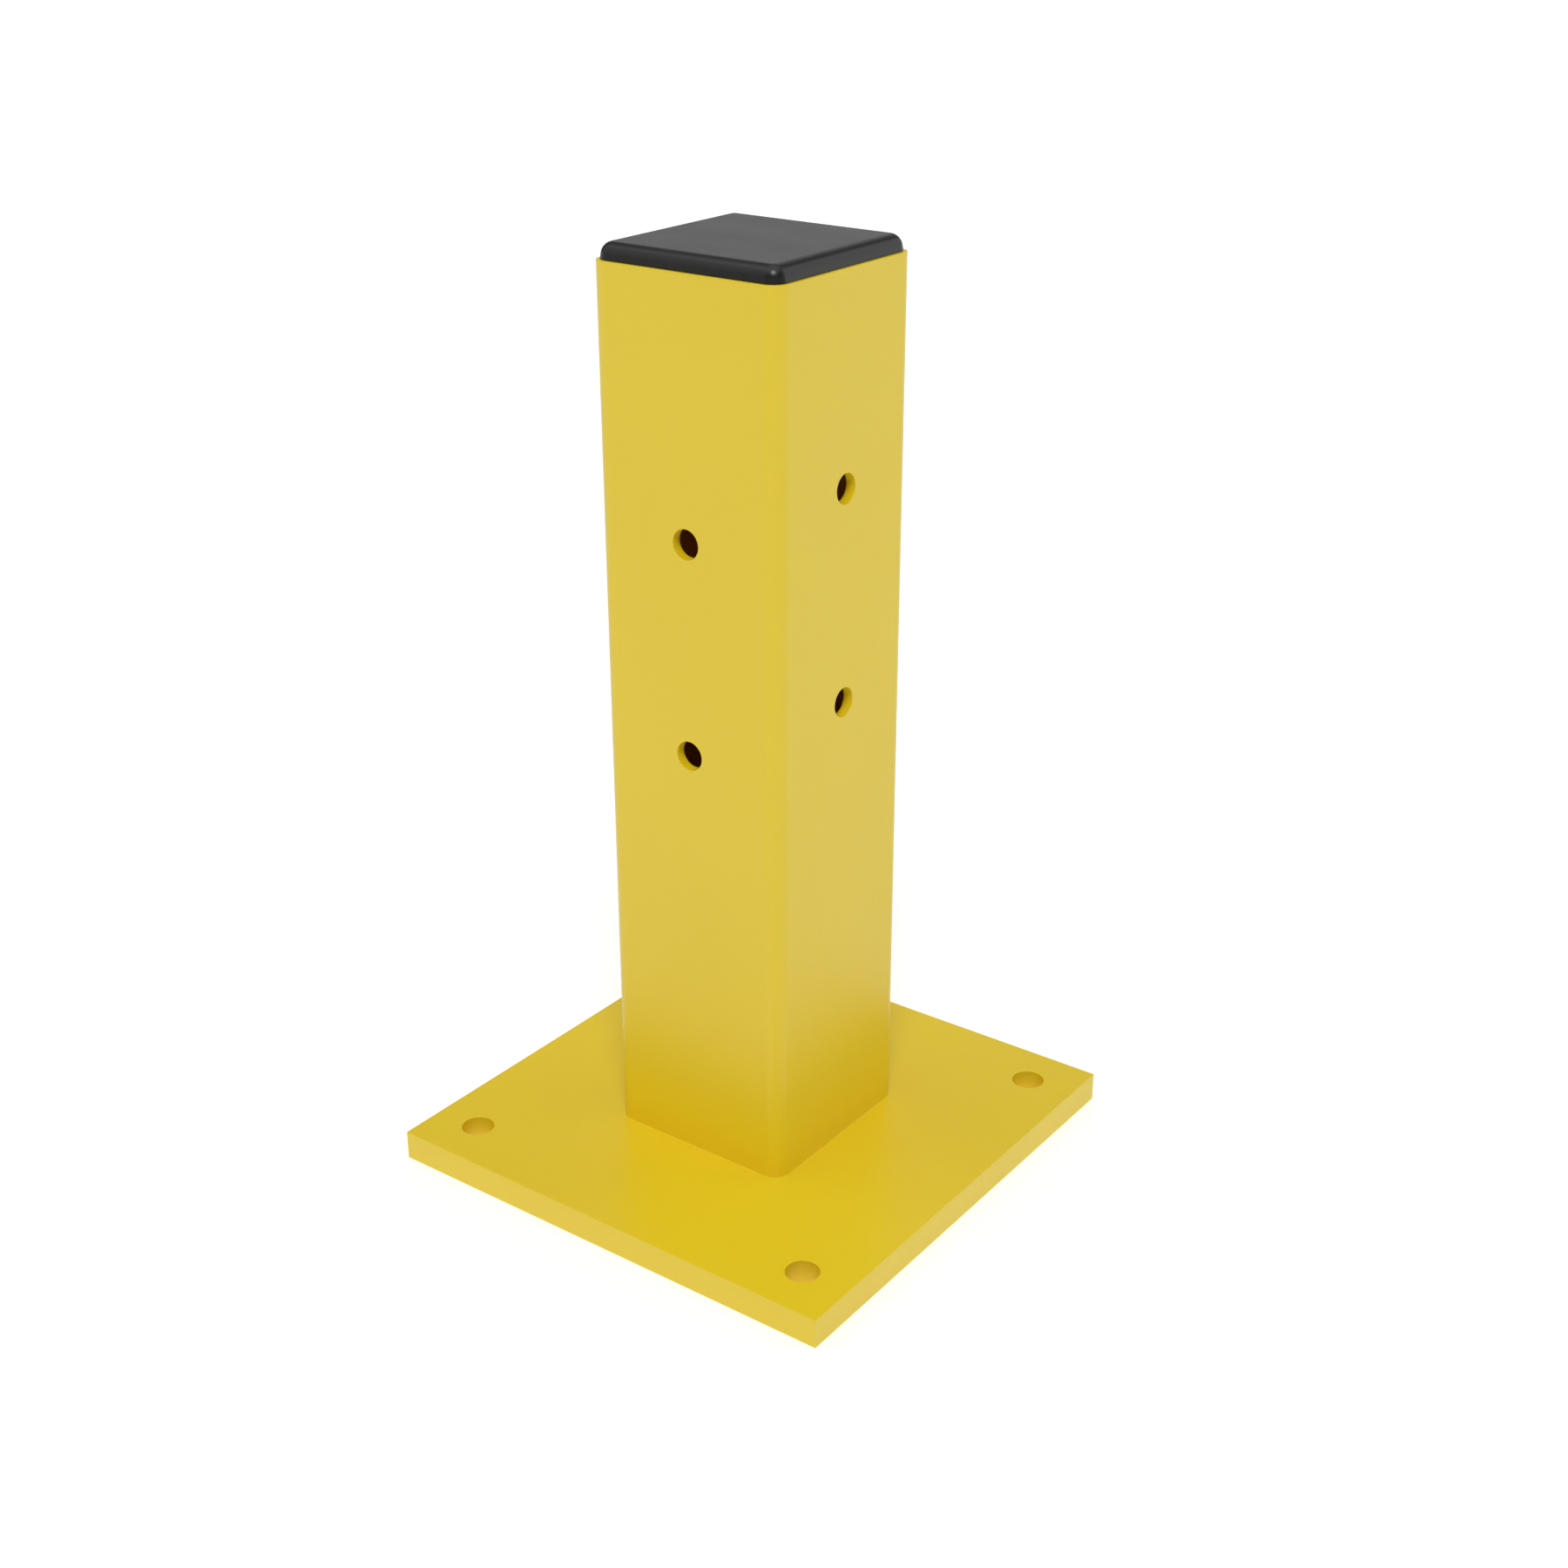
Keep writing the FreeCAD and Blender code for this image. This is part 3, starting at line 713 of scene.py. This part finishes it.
class BOLLARD_OT_post(bpy.types.Operator):
    """Square tube with two crossing pairs of rail bolt holes"""

    bl_idname = "bollard.post"
    bl_label = "Post"

    def execute(self, context):
        sizes = context.scene.bollard_sizes
        piece = new_piece("square_post")
        coat = paint(context)
        width = TUBE_HIGH.x - TUBE_LOW.x
        add_tree(piece, square_tube_tree(), {
            "Width": width,
            "Corner Radius": sizes.tube_corner,
            "Wall": sizes.tube_wall,
            "Foot Height": TUBE_LOW.z,
            "Top Height": TUBE_HIGH.z,
            "Foot Bevel": WELD_HIGH.z - WELD_LOW.z,
            "Material": coat,
        })
        drill = bolt_holes_tree()
        directions = {"front_rail_holes": (QUARTER_TURN, 0, 0), "right_rail_holes": (0, QUARTER_TURN, 0)}
        for name, direction in directions.items():
            pair = MOUNTS[name]
            pitch = pair["dims"]["spacing_y_mm"] * MM
            add_tree(piece, drill, {
                "Diameter": 2 * pair["dims"]["hole_r_mm"] * MM,
                "Depth": 2 * width,
                "First Hole": (0, 0, pair["pos_m"][2] - pitch / 2),
                "Direction": direction,
                "Columns": 1,
                "Rows": pair["dims"]["count"],
                "Row Step": (0, 0, pitch),
                "Material": coat,
            })
        round_edges(piece, sizes.steel_edge)
        bake_modifiers(piece, coat)
        stand_in(piece, "post_tube")
        return {"FINISHED"}


class BOLLARD_OT_weld(bpy.types.Operator):
    """Weld round the foot of the post, ground flush and painted over"""

    bl_idname = "bollard.weld"
    bl_label = "Weld"

    def execute(self, context):
        sizes = context.scene.bollard_sizes
        piece = new_piece("foot_weld")
        coat = paint(context)
        add_tree(piece, weld_run_tree(), {
            "Width": WELD_HIGH.x - WELD_LOW.x,
            "Corner Radius": sizes.tube_corner,
            "Height": WELD_LOW.z,
            "Leg": WELD_HIGH.z - WELD_LOW.z,
            "Toe": sizes.weld_toe,
            "Material": coat,
        })
        bake_modifiers(piece, coat)
        stand_in(piece, "base_weld")
        return {"FINISHED"}


class BOLLARD_OT_end_cap(bpy.types.Operator):
    """Moulded cap with a rounded head, a finned skirt and crossed ribs"""

    bl_idname = "bollard.end_cap"
    bl_label = "End Cap"

    def execute(self, context):
        sizes = context.scene.bollard_sizes
        piece = new_piece("plug_cap", loft("plug_cap", cap_sections(sizes)))
        plastic = shared_material("moulded_plastic", plastic_material,
                                  context.scene.bollard_finishes)
        overlap = sizes.skirt_wall / 2
        ceiling = CAP_HIGH.z - sizes.head_skin
        bottom = TUBE_HIGH.z - sizes.rib_depth
        rib_top = ceiling + overlap
        add_tree(piece, fins_and_ribs_tree(), {
            "Bore Width": TUBE_HIGH.x - TUBE_LOW.x - 2 * sizes.tube_wall,
            "Bore Radius": sizes.tube_corner - sizes.tube_wall,
            "Root Width": sizes.skirt_width - 2 * overlap,
            "Fin Thickness": sizes.fin_thickness,
            "Fin Pitch": sizes.fin_pitch,
            "Fins": sizes.fin_count,
            "Seat Height": TUBE_HIGH.z,
            "Rib Size": (sizes.skirt_width - 2 * overlap, sizes.rib_thickness, rib_top - bottom),
            "Rib Height": (rib_top + bottom) / 2,
            "Material": plastic,
        })
        keep_flat(piece)
        bake_modifiers(piece, plastic)
        stand_in(piece, "end_cap")
        return {"FINISHED"}


# ---------------------------------------------------------------- stage

def add_lamp(name, strength, azimuth, elevation, spread):
    """Soft lamp that shines from an azimuth, from the front towards the right, and an elevation.

    All three angles are in degrees; the spread is how wide the lamp looks from the post.
    """
    light = bpy.data.lights.new(name, "SUN")
    light.energy = strength
    light.angle = math.radians(spread)
    lamp = bpy.data.objects.new(name, light)
    lamp.rotation_euler = (QUARTER_TURN - math.radians(elevation), 0, math.radians(azimuth))
    bpy.context.scene.collection.objects.link(lamp)


class BOLLARD_OT_stage(bpy.types.Operator):
    """Pale floor, soft studio light and the camera"""

    bl_idname = "bollard.stage"
    bl_label = "Studio Stage"

    def execute(self, context):
        scene = context.scene
        studio = scene.bollard_studio
        self.make_floor(scene.bollard_finishes)
        self.make_light(scene, studio)
        self.make_camera(scene, studio)
        return {"FINISHED"}

    def make_floor(self, finishes):
        """Wide flat floor under the plate, which glows a little so that it looks white all over."""
        low, high = -FLOOR_HALF, FLOOR_HALF
        corners = [(low, low, 0), (high, low, 0), (high, high, 0), (low, high, 0)]
        mesh = bpy.data.meshes.new("studio_floor")
        mesh.from_pydata(corners, [], [(0, 1, 2, 3)])
        floor = new_piece("studio_floor", mesh)
        material, nodes, shader, place = new_material("studio_floor")
        mottle = nodes.node("ShaderNodeTexNoise", {"Vector": place, "Scale": FLOOR_CLOUDS}).outputs[0]
        matt = nodes.spread(mottle, 0.9, 0.05)
        material.node_tree.links.new(matt, shader.inputs["Roughness"])
        shader.inputs["Base Color"].default_value = (*finishes.floor, 1)
        shader.inputs["Specular IOR Level"].default_value = 0.1
        shader.inputs["Emission Color"].default_value = (1, 1, 1, 1)
        shader.inputs["Emission Strength"].default_value = finishes.floor_glow
        mesh.materials.append(material)

    def make_light(self, scene, studio):
        """Room that looks white and lights the post only a little, and the lamps."""
        world = bpy.data.worlds.new("studio_room")
        world.use_nodes = True
        room = world.node_tree.nodes["Background"]
        nodes = NodeBuilder(world.node_tree)
        seen = nodes.node("ShaderNodeLightPath", {}).outputs["Is Camera Ray"]
        world.node_tree.links.new(nodes.math("MAXIMUM", seen, studio.room), room.inputs["Strength"])
        room.inputs["Color"].default_value = (1, 1, 1, 1)
        scene.world = world
        add_lamp("key", studio.key_strength, azimuth=37, elevation=55, spread=19)
        add_lamp("fill", studio.fill_strength, azimuth=-60, elevation=35, spread=60)
        add_lamp("overhead", studio.overhead_strength, azimuth=0, elevation=90, spread=80)
        add_lamp("backdrop", studio.backdrop_strength, azimuth=-150, elevation=12, spread=50)
        add_lamp("rim", studio.rim_strength, azimuth=150, elevation=15, spread=55)
        scene.view_settings.view_transform = "Standard"

    def make_camera(self, scene, studio):
        """Camera aimed at its target from the given angles."""
        camera = bpy.data.cameras.new("camera")
        camera.lens = studio.focal_length
        camera.sensor_width = SENSOR_WIDTH
        back = Vector((math.sin(studio.azimuth) * math.cos(studio.elevation),
                       -math.cos(studio.azimuth) * math.cos(studio.elevation),
                       math.sin(studio.elevation)))
        holder = bpy.data.objects.new("camera", camera)
        holder.location = Vector(studio.target) + studio.distance * back
        holder.rotation_euler = (QUARTER_TURN - studio.elevation, 0, studio.azimuth)
        scene.collection.objects.link(holder)
        scene.camera = holder


# ---------------------------------------------------------------- add-on

class BOLLARD_PT_build(bpy.types.Panel):
    """Lists the bollard's operators, sizes, finishes, and camera and lights"""

    bl_idname = "BOLLARD_PT_build"
    bl_label = "Safety Bollard"
    bl_space_type = "VIEW_3D"
    bl_region_type = "UI"
    bl_category = "Bollard"

    def draw(self, context):
        for operator in OPERATORS:
            self.layout.operator(operator.bl_idname)
        for name in GROUPS:
            group = getattr(context.scene, name)
            box = self.layout.box()
            for entry in group.__annotations__:
                box.prop(group, entry)


OPERATORS = (
    BOLLARD_OT_base_plate,
    BOLLARD_OT_post,
    BOLLARD_OT_weld,
    BOLLARD_OT_end_cap,
    BOLLARD_OT_stage,
)
GROUPS = {
    "bollard_sizes": BollardSizes,
    "bollard_finishes": BollardFinishes,
    "bollard_studio": BollardStudio,
}
CLASSES = (*GROUPS.values(), *OPERATORS, BOLLARD_PT_build)


def register():
    for one in CLASSES:
        bpy.utils.register_class(one)
    for name, group in GROUPS.items():
        setattr(bpy.types.Scene, name, PointerProperty(type=group))


def unregister():
    for name in GROUPS:
        delattr(bpy.types.Scene, name)
    for one in reversed(CLASSES):
        bpy.utils.unregister_class(one)


def main():
    """Build every piece and the stage."""
    register()
    for operator in OPERATORS:
        group, name = operator.bl_idname.split(".")
        getattr(getattr(bpy.ops, group), name)()


if __name__ == "__main__":
    main()
